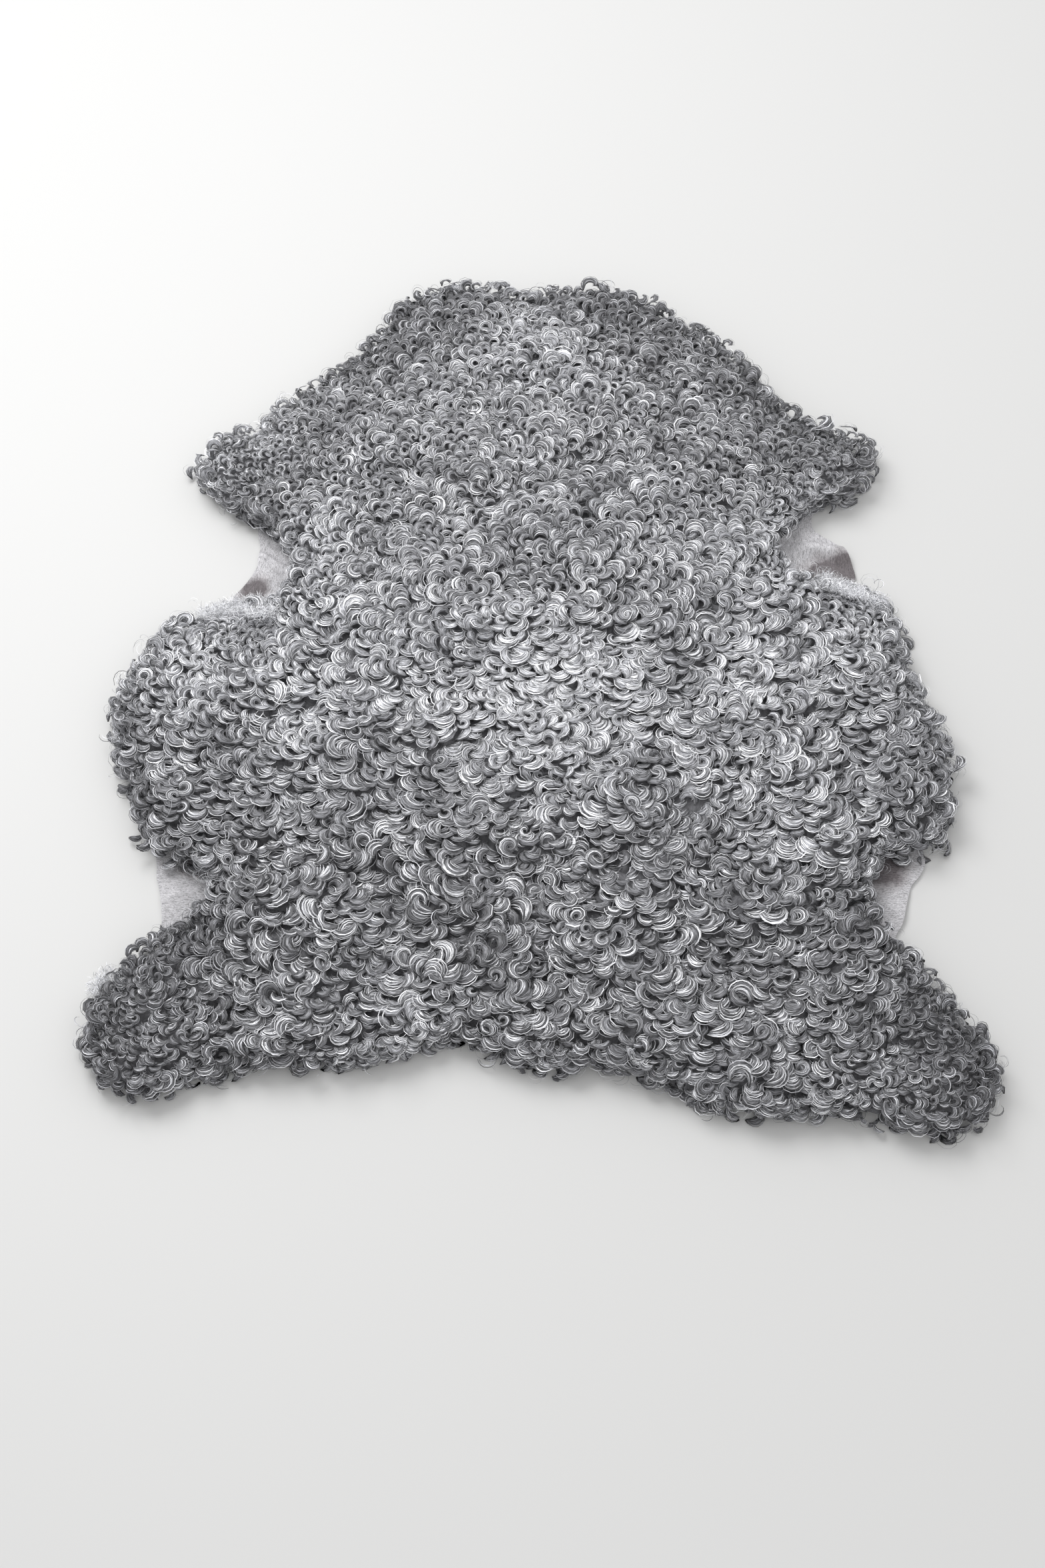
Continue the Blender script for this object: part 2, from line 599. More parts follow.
def wool_material():
    """Fibre stripes from the lock's own map: tone and place across it in u, root to tip in v."""
    nodes = Nodes("curled_wool", Roughness=0.42, Specular_IOR_Level=0.55, Sheen_Weight=0.15,
                  Sheen_Roughness=0.4)
    u, v = nodes.split(nodes.add("UVMap", uv_map="OFBake"))
    u, v = nodes.scaled(u, v, (float(TONES), float(LANES)))
    tone, lane = (nodes.math("FLOOR", value) for value in (u, v))
    across, along = (nodes.math("FRACT", value) for value in (u, v))
    seed = nodes.math("ADD", *nodes.scaled(tone, lane, FIBRE_SEEDS))
    place = nodes.add("CombineXYZ", *nodes.scaled(across, along, FIBRES), seed)
    fibre = nodes.noise(place, 1.0, 4.0, 0.70)
    level = nodes.ramp(nodes.math("DIVIDE", tone, float(TONES - 1)), WOOL_LEVELS)
    striped = nodes.times(level, nodes.ramp(fibre, FIBRE_STRIPES))
    shaded = nodes.times(striped, nodes.ramp(along, ROOT_TO_TIP))
    return nodes.finish(shaded, fibre, 0.55, 0.0007)


def underwool_material():
    """Dark felted wool in clumps."""
    nodes = Nodes("underwool", Roughness=0.8)
    clumps = nodes.noise(nodes.place(), 90.0, 5.0, 0.65, 1.2)
    return nodes.finish(nodes.ramp(clumps, UNDERWOOL_COLOURS), clumps, 0.9, 0.003)


def leather_material():
    """Pale skin with very short hair on it, browner and darker in some places."""
    nodes = Nodes("grey_leather", Roughness=0.55, Sheen_Weight=0.2)
    where = nodes.place()
    x, y = nodes.split(where)
    armpits, groins = (nodes.noise(nodes.add("CombineXYZ", *nodes.scaled(x, y, scales)),
                                   1.0, 2.0, 0.6, 1.4) for scales in GRAIN_SCALES)
    low = nodes.math("LESS_THAN", y, GROINS_BELOW)
    change = nodes.math("MULTIPLY", nodes.math("SUBTRACT", groins, armpits), low)
    hair = nodes.math("ADD", armpits, change)
    spots = []
    for a, b, radius in LEATHER_DARK:
        away = nodes.add("VectorMath", where, (a, b, 0.003), out="Value", operation="DISTANCE")
        spots.append(nodes.math("SUBTRACT", 1.0, nodes.math("DIVIDE", away, radius)))
    dark = reduce(partial(nodes.math, "MAXIMUM"), spots)
    patches = nodes.math("MULTIPLY", nodes.noise(where, 60.0, 4.0, 0.6), 0.8)
    colour = nodes.times(nodes.ramp(nodes.math("ADD", dark, patches), LEATHER_COLOURS),
                         nodes.ramp(hair, LEATHER_GRAIN))
    return nodes.finish(colour, hair, 0.6, 0.0010)


# ---- leather ----
def relief(x, y):
    """Height of the bare leather's folds and swells above where it lies."""
    height = 0.0
    for ax, ay, bx, by, rise, width in FOLDS:
        length = (bx - ax) ** 2 + (by - ay) ** 2
        share = clamp(((x - ax) * (bx - ax) + (y - ay) * (by - ay)) / length)
        away = math.hypot(x - ax - share * (bx - ax), y - ay - share * (by - ay))
        height += rise * math.exp(-((away / width) ** 2))
    return height


def evened(heights, faces):
    """Heights drawn half way to the mean of those beside them."""
    total = np.zeros(len(heights))
    count = np.zeros(len(heights))
    for k in range(3):
        np.add.at(total, faces[:, k], heights[faces[:, (k + 1) % 3]])
        np.add.at(count, faces[:, k], 1)
    return 0.5 * heights + 0.5 * total / np.maximum(count, 1)


def make_leather():
    """The pelt, with a fine mesh where it is bare, and its flat area."""
    wide = lattice(leather_line, LEATHER.wide_spacing, LEATHER.wide_margin)
    fine = lattice(leather_line, LEATHER.bare_spacing, LEATHER.bare_margin)
    bare = ~inside(slab_line, fine) & np.array([reach_limit(*p) < NO_LIMIT for p in fine])
    far = [min(np.hypot(*(fine[bare] - p).T)) > LEATHER.wide_margin for p in wide]
    points, faces = sheet_of(leather_line, np.vstack((wide[far], fine[bare])))
    heights = np.array([hit_height(under_tree, x, y, -0.1, 1.0) for x, y in points])
    for _ in range(LEATHER.smoothings):
        heights = evened(heights, faces)
    heights += np.array([max(relief(x, y), LEATHER.lowest_dent) for x, y in points])
    heights -= min(heights.min(), 0.0)
    solid, all_faces = closed_sheet(points, faces, heights + LEATHER.thickness, heights)
    leather = new_object("leather", solid, all_faces, leather_material())
    leather.data.set_sharp_from_angle(angle=LEATHER.sharp)
    a, b, c = (points[faces[:, k]] for k in range(3))
    return leather, float(0.5 * np.abs(np.cross(b - a, c - a)).sum())


# ---- underwool ----
def make_underwool():
    """The dense wool that shows between the locks: a lumpy slab, closed below."""
    inner = lattice(slab_line, UNDERWOOL.spacing, UNDERWOOL.margin)
    points, faces = sheet_of(slab_line[::2], inner)
    tops = []
    for x, y in points:
        roll = min(slab.near(x, y)[0] / UNDERWOOL.roll, 1.0)
        wool = top_height(x, y) * (1.0 - UNDERWOOL.fluff_sink * by_fluff(x, y))
        height = max(wool - UNDERWOOL.drop, UNDERWOOL.least)
        lump = noise.noise(Vector((x, y, 0.0)) / UNDERWOOL.lump_size) * UNDERWOOL.lump
        rounded = math.sqrt(1.0 - (1.0 - roll) ** 2)
        tops.append(UNDERWOOL.least + (height + lump - UNDERWOOL.least) * rounded)
    upper = np.column_stack((points, np.maximum(tops, UNDERWOOL.lowest)))
    border = border_of(faces)
    base, base_faces = sheet_of(points[border], np.empty((0, 2)))
    count = len(upper)
    lower = np.column_stack((base, np.full(len(base), UNDERWOOL.base)))
    wall = [(count + k, count + (k + 1) % len(border), border[(k + 1) % len(border)], border[k])
            for k in range(len(border))]
    below = (base_faces[:, ::-1] + count).tolist()
    return new_object("underwool", np.vstack((upper, lower)), faces.tolist() + below + wall,
                      underwool_material())


# ---- where the locks are ----
def size_of(x, y, to_rim):
    """How large the curls are here, from small on the legs and at the rim to 1 in the middle."""
    small = max(share * near_to(x, y, a, b, r) for a, b, r, share in SMALLER)
    rim = RIM_SIZE.base + RIM_SIZE.growth * min(to_rim / RIM_SIZE.width, 1.0)
    large = np.interp(y, *zip(*LARGER))
    return (1.0 - small) * (1.0 - FLUFF_SMALLER * by_fluff(x, y)) * rim * large


def toward_neck(y):
    """From 0 on the back and behind it to 1 at the neck, where the curls are tighter."""
    return clamp((y - NECK_FROM) / NECK_OVER)


def lean_angle(x, y, to_rim, out):
    """The direction in which the crest of a lock leans: out of the pelt, in drifting clumps."""
    middle = math.atan2(y - LEAN.middle_y, LEAN.narrow * x)
    way = middle + drift(x, y, LEAN.drifts)
    toward = math.exp(-to_rim / LEAN.rim_width)
    ax = math.cos(way) * (1 - toward) + out[0] * toward
    ay = math.sin(way) * (1 - toward) + out[1] * toward
    return math.atan2(ay, ax)


def from_middle(x, y, half):
    """How far a place is from the pale patch's middle, squared, in its half widths."""
    return ((x - MIDDLE[0]) / half[0]) ** 2 + ((y - MIDDLE[1]) / half[1]) ** 2


def tone_at(x, y):
    """How pale the wool is here, 0 to 1."""
    value = TONE.base - TONE.darker * clamp((TONE.low_from - y) / TONE.low_over)
    value += PALE.paler * math.exp(-from_middle(x, y, PALE.half))
    for a, b, radius, change in SHADES:
        value += change * near_to(x, y, a, b, radius)
    return drift(x, y, TONE.drifts, value)


def contrast_at(x, y):
    """How much the strands differ in tone here: less in the pale middle."""
    return np.interp(y, *CONTRAST) - CALM.calmer * np.exp(-from_middle(x, y, CALM.half))


def scatter(spacing, tries):
    """Places inside the slab, with the distance and the way to its rim, and the size there.
    Darts are thrown, and one stays if no other is nearer than the spacing times the size."""
    taken = {}
    darts = nrng.uniform(slab_line.min(axis=0), slab_line.max(axis=0), (tries, 2))
    found = []
    for x, y in darts[inside(slab_line, darts)].tolist():
        to_rim, out = slab.near(x, y)
        size = size_of(x, y, to_rim)
        gap = (spacing * size) ** 2
        i, j = math.floor(x / spacing), math.floor(y / spacing)
        beside = (place for a in (i - 1, i, i + 1) for b in (j - 1, j, j + 1)
                  for place in taken.get((a, b), ()))
        if all((px - x) ** 2 + (py - y) ** 2 > gap for px, py in beside):
            taken.setdefault((i, j), []).append((x, y))
            found.append((x, y, to_rim, out, size))
    return found


def pick(limits):
    """A random number between two limits."""
    return rng.uniform(*limits)


def degrees(low, high):
    """A random angle between two, given in degrees."""
    return math.radians(rng.uniform(low, high))


def any_rim_place():
    """A random place on the wool's edge, and the way out there."""
    k = rng.randrange(len(slab_line))
    return slab_line[k], slab.out[k]


def way_out(out, spread):
    """An angle near the way out."""
    return math.atan2(out[1], out[0]) + rng.gauss(0.0, spread)


def back(x, y, angle, step):
    """The place a step behind this one."""
    return x - step * math.cos(angle), y - step * math.sin(angle)


def lock_row(x, y, z, radius, angle, tilt, kind, tone, fuller=1.0):
    """The numbers of one lock, in the order that Locks takes them."""
    shape = SHAPES[kind]
    more = toward_neck(y) if kind == "crescent" else 0.0
    sweep = degrees(shape.sweep[0] + NECK_SWEEP[0] * more, shape.sweep[1] + NECK_SWEEP[1] * more)
    shrink = pick(shape.shrink)
    start = -degrees(*RING_START) if kind == "ring" else -sweep * pick(CRESCENT_START)
    arch = pick(shape.arch)
    hand = rng.choice((-1.0, 1.0))
    rise = pick(LOCK_RISE)
    fat = fuller * pick(shape.fat)
    return (x, y, z, radius, angle, tilt, hand, sweep, start, shrink, clamp(tone, *TONE_LIMITS),
            rise, fat, arch, rng.random())


def wisp_row(x, y, z, radius, angle, tone):
    """The numbers of one loose hair, in the same order."""
    tilt = degrees(-25, 35)
    hand = rng.choice((-1.0, 1.0))
    sweep, start = degrees(100, 260), -degrees(40, 130)
    shrink, rise = rng.uniform(0.0, 0.6), rng.uniform(-0.3, 0.6)
    fat, arch = rng.uniform(0.35, 0.75), rng.uniform(0.0, 0.4)
    return (x, y, z, radius, angle, tilt, hand, sweep, start, shrink, clamp(tone, 0.0, 0.999),
            rise, fat, arch, rng.random())


def add_lock(rows, x, y, z, radius, angle, tilt, kind, tone, fuller=1.0):
    """Adds a lock to the table of its kind and size."""
    size = ""
    if radius < SMALL:
        size = "small_"
    elif kind == "crescent" and radius > LARGE:
        size = "large_"
    tone += rng.gauss(0.0, TONE_SPREAD)
    rows[size + kind].append(lock_row(x, y, z, radius, angle, tilt, kind, tone, fuller))


def add_top_locks(rows):
    """Locks all over the top, some with others lying on them."""
    for x, y, to_rim, out, size in scatter(TOP_LOCKS.spacing, TOP_LOCKS.darts):
        rings = TOP_LOCKS.rings + TOP_LOCKS.neck_rings * toward_neck(y)
        kind = "ring" if rng.random() < rings else "crescent"
        kind_size = TOP_LOCKS.ring_size if kind == "ring" else TOP_LOCKS.crescent_size
        radius = LOCK_RADIUS * size * pick(TOP_LOCKS.sizes) * kind_size
        angle = lean_angle(x, y, to_rim, out) + rng.gauss(0.0, TOP_LOCKS.turn)
        if rng.random() < TOP_LOCKS.strays:
            angle = rng.uniform(-math.pi, math.pi)
        if TOP_LOCKS.reach * radius - to_rim > reach_limit(x, y):
            continue
        mean_tilt, tilt_spread = TOP_LOCKS.tilt
        tilt = math.radians(rng.gauss(mean_tilt * math.sin(angle), tilt_spread))
        z = wool_top(x, y, to_rim) - radius * abs(math.sin(tilt)) * TOP_LOCKS.sink
        z += pick(TOP_LOCKS.heights)
        least = TOP_LOCKS.least
        add_lock(rows, x, y, max(z, least), radius, angle, tilt, kind, tone_at(x, y))
        stacked = kind == "crescent" and to_rim > STACKS.to_rim and rng.random() < STACKS.share
        for _ in range(rng.choice(STACKS.counts) if stacked else 0):
            step = radius * pick(STACKS.steps)
            angle += rng.gauss(0.0, STACKS.turn)
            (x, y), z = back(x, y, angle, step), z - STACKS.drop
            radius *= pick(STACKS.sizes)
            add_lock(rows, x, y, max(z, least), radius, angle, tilt, kind, tone_at(x, y))


class Cover:
    """Which cells of a fine grid over the pelt have a lock above them."""

    def __init__(self):
        self.low = slab_line.min(axis=0) - COVER.margin
        size = (slab_line.max(axis=0) + COVER.margin - self.low) / COVER.cell
        self.done = np.zeros(np.ceil(size).astype(int), dtype=bool)

    def mark(self, row):
        """Marks what a lock's band passes over."""
        locks = Locks(np.array([row]))
        p = np.linspace(*COVER.samples)[None, :]
        reach = COVER.half * locks.fat[0] * locks.radius[0] * width_at(p[0])
        for (x, y, _), r in zip(locks.spine(p)[0][0], reach):
            i, j = ((np.array((x, y)) - self.low) / COVER.cell).astype(int)
            k = int(r / COVER.cell + 0.5)
            self.done[max(i - k, 0):i + k + 1, max(j - k, 0):j + k + 1] = True

    def gaps(self):
        """The middles of the cells that nothing covers, in a random order."""
        cells = np.argwhere(~self.done)
        places = self.low + (cells + 0.5) * COVER.cell
        chosen = inside(slab_line, places)
        order = nrng.permutation(int(chosen.sum()))
        return places[chosen][order], cells[chosen][order]


def fill_gaps(rows):
    """Adds locks in the places that the others leave bare."""
    cover = Cover()
    for table in rows.values():
        for row in table:
            cover.mark(row)
    places, cells = cover.gaps()
    for (x, y), (i, j) in zip(places.tolist(), cells.tolist()):
        covered = cover.done[i - 1:i + 2, j - 1:j + 2].mean()
        if cover.done[i, j] or not covered < COVER.lonely:
            continue
        to_rim, out = slab.near(x, y)
        radius = LOCK_RADIUS * size_of(x, y, to_rim) * pick(FILLERS.sizes)
        if FILLERS.reach * radius - to_rim > reach_limit(x, y):
            continue
        angle = lean_angle(x, y, to_rim, out) + rng.gauss(0.0, FILLERS.turn)
        z = wool_top(x, y, to_rim) - FILLERS.drop + pick(FILLERS.heights)
        row = lock_row(*back(x, y, angle, radius), max(z, FILLERS.least), radius, angle,
                       degrees(*FILLERS.tilt), "crescent", tone_at(x, y) - FILLERS.darker)
        rows["filler"].append(row)
        cover.mark(row)
    if len(cover.gaps()[0]) > COVER.most_bare:
        raise ValueError("the locks leave too much of the underwool bare")


def add_rim_locks(rows):
    """Locks that hang out all along the rim, at several heights."""
    group = RIM_LOCKS
    for level, (height, reach, steps) in enumerate(RIM_LEVELS):
        clumps = ((group.clump_size, group.layer + group.layer_step * level, group.clump),)
        pitch = 0
        while pitch < len(slab_line):
            place, out = slab_line[pitch], slab.out[pitch]
            pitch += rng.choice(steps)
            kind = "ring" if rng.random() < group.rings else "crescent"
            radius = pick(group.radii)
            upper = group.push_base + out[1] + group.push_right * out[0]
            push = group.push * clamp(upper, -group.push_base)
            push += clamp((radius - group.hang_from) / group.hang_over) * sum(
                hang * near_to(*place, a, b, r) for a, b, r, hang in OVERHANGS)
            furthest = max(reach * drift(*place, clumps, 1.0) + push - radius, 0.0)
            beyond = min(rng.uniform(group.inward, furthest),
                         reach_limit(*place) - group.reach * radius,
                         group.beyond + group.beyond_radii * radius)
            x, y = place + out * beyond
            angle = way_out(out, group.turn)
            z = height - max(beyond, 0.0) * group.droop + pick(group.heights)
            z = max(z, group.least) * (1.0 - group.fluff_sink * by_fluff(*place))
            add_lock(rows, x, y, z, radius, angle, degrees(*group.tilt), kind,
                     tone_at(x, y) - group.darker, group.fatter)


def add_tufts(rows):
    """Bundles of longer locks that hang out here and there on the flanks, legs and rump."""
    for _ in range(TUFTS.count):
        place, out = any_rim_place()
        radius = pick(TUFTS.radii)
        if reach_limit(*place) < NO_LIMIT or place[1] > TUFTS.highest_y:
            continue
        angle = way_out(out, TUFTS.turn)
        x, y = place + out * pick(TUFTS.beyond)
        z = pick(TUFTS.heights)
        for _ in range(rng.choice(TUFTS.locks)):
            add_lock(rows, x, y, max(z, TUFTS.least), radius, angle, degrees(*TUFTS.tilt),
                     "crescent", tone_at(x, y) - TUFTS.darker, TUFTS.thinner)
            (x, y), z = back(x, y, angle, TUFTS.step), z + TUFTS.climb
            angle += rng.gauss(0.0, TUFTS.bend)
            radius *= pick(TUFTS.sizes)


def describe_locks():
    """A table of rows for each kind of lock."""
    rows = {kind: [] for kind in KINDS}
    add_top_locks(rows)
    fill_gaps(rows)
    add_rim_locks(rows)
    add_tufts(rows)
    return {kind: np.array(table) for kind, table in rows.items()}


def describe_wisps():
    """Rows for loose hairs: some over the top, more beyond the rim."""
    rows = []
    places = nrng.uniform(slab_line.min(axis=0), slab_line.max(axis=0), (3 * WISPS, 2))
    for x, y in places[inside(slab_line, places)][:WISPS].tolist():
        to_rim, _ = slab.near(x, y)
        radius = rng.uniform(0.006, 0.013) * min(size_of(x, y, to_rim), 1.0)
        z = wool_top(x, y, to_rim) + rng.uniform(0.0, 0.005)
        rows.append(wisp_row(x, y, z, radius, rng.uniform(-math.pi, math.pi), tone_at(x, y)))
    for _ in range(RIM_WISPS):
        place, out = any_rim_place()
        radius = rng.uniform(0.004, 0.010)
        beyond = min(rng.uniform(0.002, 0.016), reach_limit(*place))
        x, y = place + out * beyond
        angle = way_out(out, 1.2)
        z = max(0.030 - beyond + rng.uniform(-0.010, 0.012), 0.004)
        rows.append(wisp_row(x, y, z, radius, angle, tone_at(x, y) - WISP_DARKER))
    return np.array(rows)


# ---- the locks' meshes ----
def over(values, p):
    """The locks' values, one row a lock, shaped to go with shares p of their lengths."""
    return values.reshape(len(values), *[1] * (p.ndim - 1), *values.shape[1:])


def width_at(p):
    return np.interp(p, *zip(*BODY_WIDTHS))


class Locks:
    """Locks as arrays, with the spiral that each follows and the section round it."""

    def __init__(self, rows):
        (x, y, z, self.radius, angle, tilt, self.hand, self.sweep, self.start, self.shrink,
         tone, self.rise, self.fat, self.arch, self.seed) = rows.T
        self.count = len(rows)
        self.centre = np.stack((x, y, z), axis=1)
        flat = np.stack((np.cos(angle), np.sin(angle), np.zeros_like(angle)), axis=1)
        up = np.array((0.0, 0.0, 1.0))
        self.crest = flat * np.cos(tilt)[:, None] + up * np.sin(tilt)[:, None]
        self.side = np.cross(up, flat) * self.hand[:, None]
        self.normal = -flat * np.sin(tilt)[:, None] + up * np.cos(tilt)[:, None]
        self.tone = (tone * TONES).astype(int)
        self.lane = (self.seed * LANES).astype(int)

    def spine(self, p):
        """Points and outward directions at shares p of the locks' lengths, one row a lock."""
        angle = over(self.start, p) + over(self.sweep, p) * p
        radius = over(self.radius, p) * (1.0 - over(self.shrink, p) * p)
        radial = (np.cos(angle)[..., None] * over(self.crest, p)
                  + np.sin(angle)[..., None] * over(self.side, p))
        point = over(self.centre, p) + radial * radius[..., None]
        rise = over(self.rise * self.radius, p) * p
        point = point + over(self.normal, p) * rise[..., None]
        drop = over(self.arch, p) * (1.0 - np.cos(np.clip(angle, -math.pi, math.pi)))
        drop = drop + ROOT_DROP * np.clip(1.0 - p / ROOT_LENGTH, 0.0, 1.0) ** 2
        point[..., 2] -= drop * over(self.radius, p)
        return point, radial

    def around(self, p, turn, lift, above=0.0, outward=0.0):
        """Points on the section's oval at these turns, and the directions along the oval."""
        point, radial = self.spine(p)
        normal, radius = over(self.normal, p), over(self.radius, p)
        reach = over(self.fat * self.radius, p) * width_at(p) * lift
        wide, high = SECTION[0] * reach, SECTION[1] * reach
        cos, sin = np.cos(turn), np.sin(turn)
        up = high * sin + above * radius
        out = wide * cos + outward * radius
        place = point + out[..., None] * radial + up[..., None] * normal
        along = -(wide * sin)[..., None] * radial + (high * cos)[..., None] * normal
        return place, along / np.maximum(np.linalg.norm(along, axis=-1, keepdims=True), 1e-12)

    def map_of(self, across, p, paler=0):
        """The map's u and v for a place across the lock and one along it."""
        tone = np.clip(over(self.tone, p) + paler, 0, TONES - 1)
        u = (tone + 0.02 + 0.96 * across) / TONES
        v = (over(self.lane, p) + 0.02 + 0.96 * np.clip(p, 0.0, 1.0)) / LANES
        return np.stack(np.broadcast_arrays(u, v), axis=-1)

    def faces(self, corners_of, uv, step):
        """The same faces for every lock, wound the other way on locks of the other hand."""
        size = corners_of.shape[-1]
        all_corners = np.broadcast_to(corners_of, (self.count, *corners_of.shape)).copy()
        other = self.hand > 0
        all_corners[other] = all_corners[other][..., ::-1]
        uv[other] = uv[other][..., ::-1, :]
        all_corners += (np.arange(self.count) * step).reshape(-1, *[1] * corners_of.ndim)
        return all_corners.reshape(-1, size), uv.reshape(-1, 2)


def lock_bodies(locks, steps):
    """Closed tapered bodies with a rounded roof and a flat base: points, faces and their map."""
    p = np.broadcast_to(np.linspace(0.0, 1.0, steps + 1)[:, None], (locks.count, steps + 1, 3))
    turns = np.array((0.0, 0.5 * math.pi, math.pi))
    turns = turns + BODY_TWIST * (locks.seed[:, None, None] - 0.5) * p
    points, _ = locks.around(p, turns, BODY_SIZE)
    ring = np.arange(3)
    after = (ring + 1) % 3
    step = np.arange(steps)[:, None] * 3
    quads = np.stack(np.broadcast_arrays(step + ring, step + after, step + 3 + after,
                                         step + 3 + ring), axis=-1).reshape(-1, 4)
    caps = np.array(((2, 1, 0), (3 * steps, 3 * steps + 1, 3 * steps + 2)))
    s = np.tile(np.stack((ring, ring + 1, ring + 1, ring), axis=1), (steps, 1)) / 3
    v = (np.repeat(np.arange(steps), 3)[:, None] + np.array((0, 0, 1, 1))) / steps
    cap_s = np.array(((2, 1, 0), (0, 1, 2))) / 3
    cap_v = np.array(((0, 0, 0), (1, 1, 1)))
    faces = []
    for corners_of, across, along in ((quads, s, v), (caps, cap_s, cap_v)):
        uv = locks.map_of(np.broadcast_to(across, (locks.count, *across.shape)),
                          np.broadcast_to(along, (locks.count, *along.shape)), BODY_TONE)
        faces.append(locks.faces(corners_of, uv, (steps + 1) * 3))
    return points.reshape(-1, 3), faces


def strips(order, steps, count):
    """The corner numbers of strips of quads, two points wide, one strip after another."""
    strip = np.arange(steps)[:, None] * 2 + np.array(order)
    return strip + (np.arange(count) * (steps + 1) * 2)[:, None, None]


def lock_strands(locks, strands, steps):
    """Flat strands of fibre that lie on the bodies: points, quads and their map."""
    shape = (locks.count, strands, 1)

    def each(low, high):
        return nrng.uniform(low, high, shape)

    p = np.linspace(0.0, 1.0, steps + 1)
    hump = np.sin(np.pi * p)
    begin, end = each(0.0, 0.22), each(0.84, 1.14)
    q = begin + (end - begin) * p
    side = 2.0 * (np.arange(strands)[:, None] + each(0.0, 1.0)) / strands - 1.0
    side = side + each(-0.7, 0.7) * (q - 0.45)
    quarter = 0.5 * math.pi
    turn = np.arccos(0.94 * np.arcsin(np.sin(quarter * side)) / quarter)
    loose = each(0.0, 1.0) ** 2
    lift = (each(0.92, 1.12) + 0.7 * loose * hump) * (1.0 + 0.8 * np.clip(q - 0.8, 0.0, 1.0))
    above = each(-0.05, 0.10) * hump
    place, along = locks.around(q, turn, lift, above, each(*STRAND_FAN) * hump ** 0.5)
    edge = np.abs(np.cos(turn[..., :1]))
    width = each(*STRAND_WIDTHS) * (1.0 - 0.4 * loose) * (1.18 - 0.45 * edge)
    half = width * over(locks.fat * locks.radius, q) * np.interp(p, *STRAND_PROFILE)
    half = half[..., None] * along
    points = np.stack((place - half, place + half), axis=3)
    left = each(0.02, 0.86)
    s = np.stack(np.broadcast_arrays(left, left + 0.10, left + 0.10, left), axis=-1)
    s = np.broadcast_to(s, (locks.count, strands, steps, 4))
    v = np.stack((q[..., :-1], q[..., :-1], q[..., 1:], q[..., 1:]), axis=-1)
    contrast = contrast_at(locks.centre[:, 0], locks.centre[:, 1])
    paler = nrng.choice(STRAND_TONES, (*shape, 1)) * over(contrast, v)
    paler = np.rint(paler).astype(int) - np.rint(OUTER_TONE * edge[..., None]).astype(int)
    quads = strips((0, 1, 3, 2), steps, strands)
    faces = locks.faces(quads, locks.map_of(s, v, paler), strands * (steps + 1) * 2)
    return points.reshape(-1, 3), [faces]


def fluff_patch(x, y, half_x, half_y, turn, count):
    """Short hairs that lie every way on an oval patch: points, quads and their map."""
    def each(low, high):
        return nrng.uniform(low, high, count)[:, None]

    away = np.sqrt(each(0.0, 1.0)) * each(0.75, 1.0)
    bearing = each(0.0, 2.0 * math.pi)
    a, b = half_x * away * np.cos(bearing), half_y * away * np.sin(bearing)
    root = np.hstack((x + a * math.cos(turn) - b * math.sin(turn),
                      y + a * math.sin(turn) + b * math.cos(turn)))
    ground = np.array([[max(top_height(*p), LEATHER.thickness)] for p in root.tolist()])
    way, length, bend = each(-math.pi, math.pi), each(0.003, 0.007), each(-1.6, 1.6)
    p = np.linspace(0.0, 1.0, FLUFF_STEPS + 1)[None, :]
    heading = way + bend * p
    arch = np.sin(np.pi * 0.75 * p) * each(0.1, 0.9) * 0.005
    spine = np.stack((root[:, :1] + np.cumsum(np.cos(heading), axis=1) * length / FLUFF_STEPS,
                      root[:, 1:] + np.cumsum(np.sin(heading), axis=1) * length / FLUFF_STEPS,
                      ground + each(0.0, 0.004) + arch), axis=2)
    half = (FLUFF_HALF_WIDTH * (1.0 - 0.8 * p**2))[..., None]
    across = np.stack((-np.sin(heading), np.cos(heading), np.zeros_like(heading)), axis=2)
    points = np.stack((spine - across * half, spine + across * half), axis=2)
    tone = nrng.choice(FLUFF_TONES, count)[:, None, None]
    lane = nrng.integers(0, LANES, count)[:, None, None]
    s = each(0.1, 0.8)[..., None] + np.array((0.0, 0.0, 0.08, 0.08))
    along = (np.arange(FLUFF_STEPS)[:, None] + np.array((0, 1, 1, 0))) / FLUFF_STEPS
    v = lane + along * 0.3 + 0.35
    uv = np.stack(np.broadcast_arrays((tone + s) / TONES, v / LANES), axis=-1)
    quads = strips((0, 2, 3, 1), FLUFF_STEPS, count)
    return points.reshape(-1, 3), [(quads.reshape(-1, 4), uv.reshape(-1, 2))]


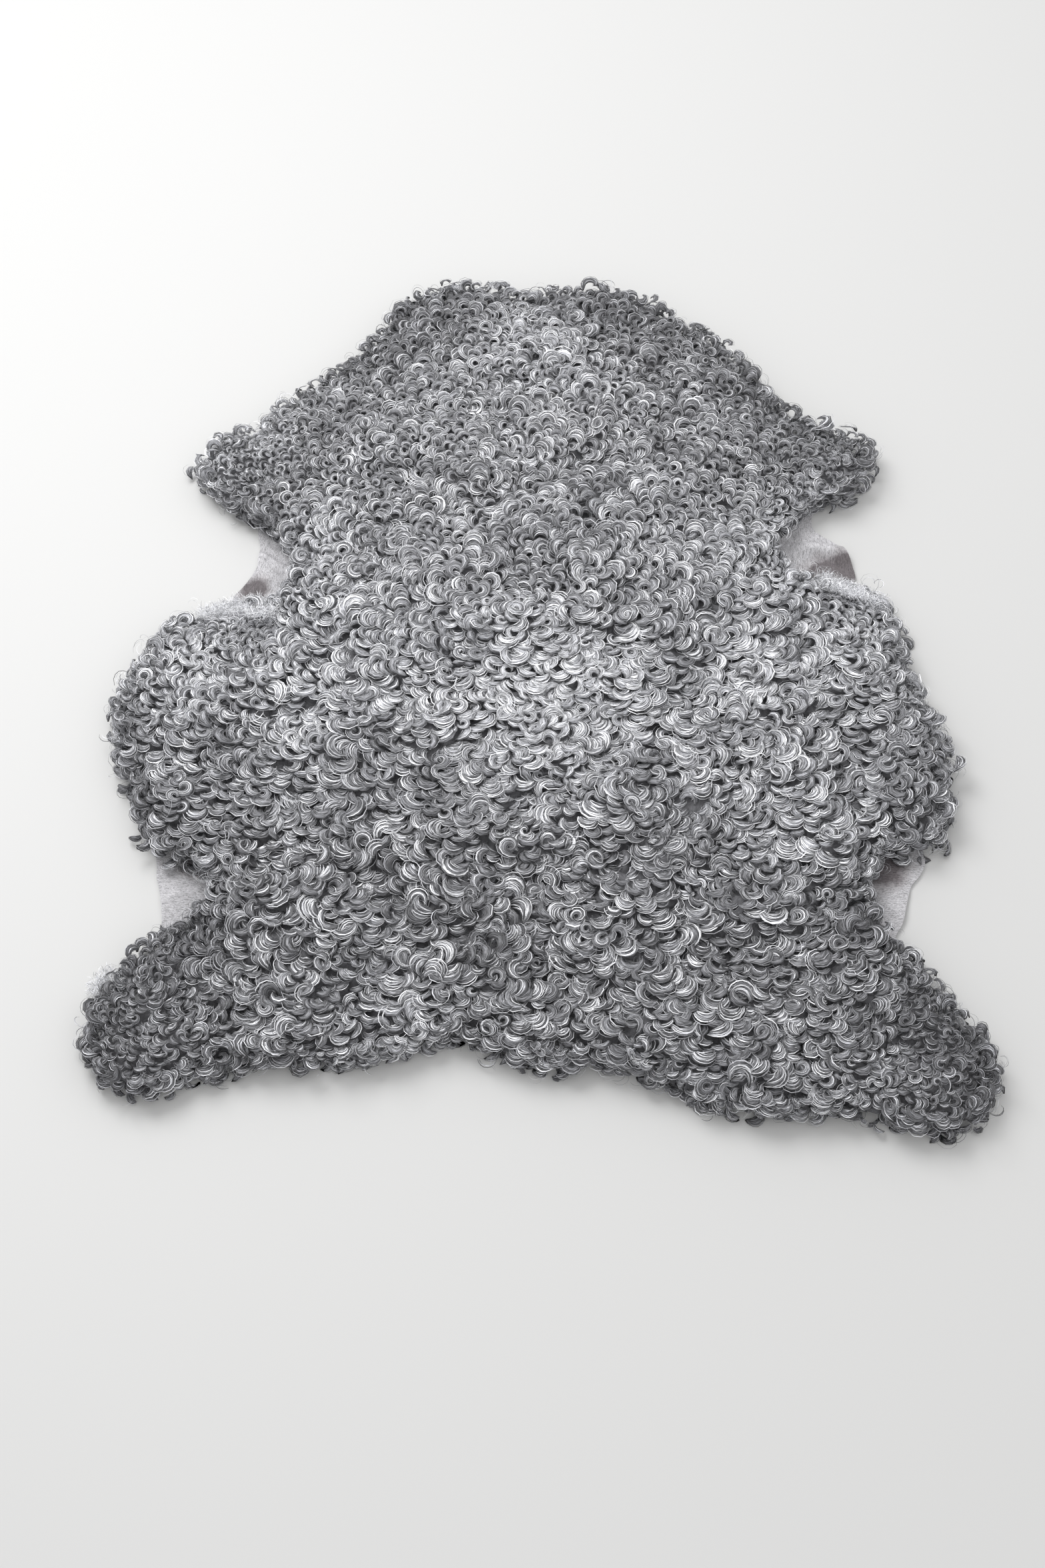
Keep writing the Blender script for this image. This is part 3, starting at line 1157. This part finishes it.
def mesh_object(name, parts, material):
    """One mesh object from several (points, faces), with nothing below the floor. Faces come
    as (corner numbers, map) pairs, one for quads and one for triangles."""
    starts = np.cumsum([0] + [len(points) for points, _ in parts[:-1]])
    points = np.concatenate([points for points, _ in parts])
    points[:, 2] = np.clip(points[:, 2], LOWEST, cad_box[1][2] + PROUD)
    faces = [(corners_of + start, uv) for start, (_, pairs) in zip(starts, parts)
             for corners_of, uv in pairs]
    sizes = np.concatenate([np.full(len(numbers), numbers.shape[1]) for numbers, _ in faces])
    loops = np.concatenate([numbers.ravel() for numbers, _ in faces]).astype(np.int32)
    uvs = np.concatenate([uv for _, uv in faces]).astype(np.float32)
    mesh = bpy.data.meshes.new(name)
    mesh.vertices.add(len(points))
    mesh.vertices.foreach_set("co", points.astype(np.float32).ravel())
    mesh.loops.add(len(loops))
    mesh.loops.foreach_set("vertex_index", loops)
    mesh.polygons.add(len(sizes))
    mesh.polygons.foreach_set("loop_start", (np.cumsum(sizes) - sizes).astype(np.int32))
    mesh.update(calc_edges=True)
    mesh.uv_layers.new(name="OFBake").data.foreach_set("uv", uvs.ravel())
    mesh.shade_smooth()
    mesh.materials.append(material)
    return in_scene(name, mesh)


def make_locks(name, rows, material):
    """One mesh of all kinds of locks."""
    parts = []
    for kind, (steps, strands, strand_steps) in KINDS.items():
        if len(rows[kind]):
            locks = Locks(rows[kind])
            parts.append(lock_bodies(locks, steps))
            parts.append(lock_strands(locks, strands, strand_steps))
    return mesh_object(name, parts, material)


# ---- stage ----
def make_camera():
    data = bpy.data.cameras.new("camera")
    data.lens = CAMERA_LENS
    data.sensor_width = SENSOR_WIDTH
    camera = in_scene("camera", data)
    pitch = Matrix.Rotation(math.radians(90.0 - CAMERA_PITCH), 4, "X")
    roll = Matrix.Rotation(-math.radians(CAMERA_ROLL), 4, "Z")
    camera.matrix_world = Matrix.Translation(CAMERA_PLACE) @ pitch @ roll
    bpy.context.scene.camera = camera


def make_floor():
    places = FLOOR_SIZE / 2 * np.array(((-1, -1, 0), (1, -1, 0), (1, 1, 0), (-1, 1, 0)))
    nodes = Nodes("floor", Base_Color=FLOOR_COLOUR, Roughness=FLOOR_ROUGHNESS)
    floor = new_object("floor", places, [(0, 1, 2, 3)], nodes.material)
    floor.location.z = FLOOR_LEVEL


def make_light():
    """A large soft lamp that points at the rug's middle."""
    data = bpy.data.lights.new("key", "AREA")
    data.shape = "DISK"
    data.size = KEY_SIZE
    data.energy = KEY_POWER
    light = in_scene("key", data)
    light.location = KEY_PLACE
    light.rotation_euler = (-Vector(KEY_PLACE)).to_track_quat("-Z", "Y").to_euler()


def make_world():
    world = bpy.data.worlds.new("studio")
    world.use_nodes = True
    background = world.node_tree.nodes["Background"]
    background.inputs["Color"].default_value = (1.0, 1.0, 1.0, 1.0)
    background.inputs["Strength"].default_value = WORLD_STRENGTH
    bpy.context.scene.world = world


def dress(piece):
    """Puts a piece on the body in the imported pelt's place."""
    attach(piece, "root")
    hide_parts("sheepskin")


make_camera()
make_world()
make_floor()
make_light()
bpy.context.scene.view_settings.view_transform = "Standard"

leather, leather_area = make_leather()
dress(leather)
dress(make_underwool())

wool = wool_material()
lock_rows = describe_locks()
NAMES = ("rump", "loin", "flank", "back", "shoulder", "neck")
every_y = np.concatenate([table[:, 1] for table in lock_rows.values()])
bands = np.quantile(every_y, np.arange(1, len(NAMES)) / len(NAMES))
for part, name in enumerate(NAMES):
    chosen = {kind: table[np.searchsorted(bands, table[:, 1]) == part]
              for kind, table in lock_rows.items()}
    dress(make_locks("curls_" + name, chosen, wool))

wisps = lock_strands(Locks(describe_wisps()), WISP_STRANDS, WISP_STEPS)
dress(mesh_object("loose_hairs", [wisps], wool))
dress(mesh_object("pale_fluff", [fluff_patch(*patch) for patch in FLUFF], wool))

bpy.context.view_layer.update()
